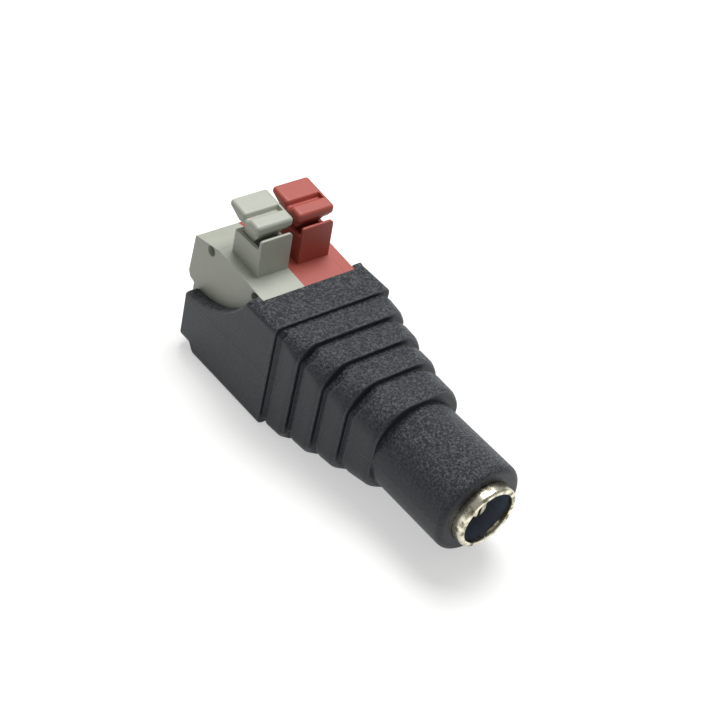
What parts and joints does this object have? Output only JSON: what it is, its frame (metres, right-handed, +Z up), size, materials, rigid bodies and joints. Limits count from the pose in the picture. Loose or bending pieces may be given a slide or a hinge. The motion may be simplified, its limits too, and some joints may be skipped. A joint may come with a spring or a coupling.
{
  "type": "dc barrel jack",
  "caption": "In-line power jack: a round socket for a coaxial plug, a ribbed moulded boot and a clamp terminal with push levers for bare wires.",
  "frame": {"origin": "centre of the socket's mouth, in the plane of the sleeve's end face", "axes": "+Y the way a plug goes in, from the socket to the terminal; +Z up, out of the push levers; +X from the grey pole to the red pole"},
  "size_m": [0.0142, 0.0399, 0.0182],
  "materials": {
    "boot_plastic": "fine matt grain on top, smoother on the sides",
    "nickel_plate": "bright nickel plating",
    "insulator": "dark moulded insulator",
    "pin_plate": "nickel plating",
    "leaf_plate": "nickel plating",
    "grey_plastic": "satin moulded plastic",
    "red_plastic": "satin moulded plastic",
    "spring_steel": "stainless spring strip",
    "tinned_bar": "tinned strip",
    "copper_strand": "bare stranded wire",
    "red_cover": "vinyl wire cover",
    "black_cover": "vinyl wire cover",
    "solder": "set solder"
  },
  "bodies": {
    "body": {"boot": "boot_plastic", "jack_sleeve": "nickel_plate", "jack_core": "insulator", "centre_pin": "pin_plate", "sleeve_leaf": "leaf_plate", "grey_housing": "grey_plastic", "red_housing": "red_plastic", "red_end_plate": "red_plastic", "grey_spring": "spring_steel", "red_spring": "spring_steel", "grey_contact_bar": "tinned_bar", "red_contact_bar": "tinned_bar", "positive_conductor": "copper_strand", "positive_insulation": "red_cover", "negative_conductor": "copper_strand", "negative_insulation": "black_cover", "pin_solder": "solder", "leaf_solder": "solder", "red_solder": "solder", "grey_solder": "solder"},
    "grey_lever": {"grey_lever": "grey_plastic"},
    "red_lever": {"red_lever": "red_plastic"}
  },
  "joints": [
    {"name": "grey_lever_press", "type": "slide", "parent": "body", "child": "grey_lever", "axis": [0, 0, -1], "range_m": [0, 0.0009], "stiffness_N_per_m": 3000, "springref_m": -0.0004, "deforming": ["grey_spring"]},
    {"name": "red_lever_press", "type": "slide", "parent": "body", "child": "red_lever", "axis": [0, 0, -1], "range_m": [0, 0.0009], "stiffness_N_per_m": 3000, "springref_m": -0.0004, "deforming": ["red_spring"]}
  ]
}
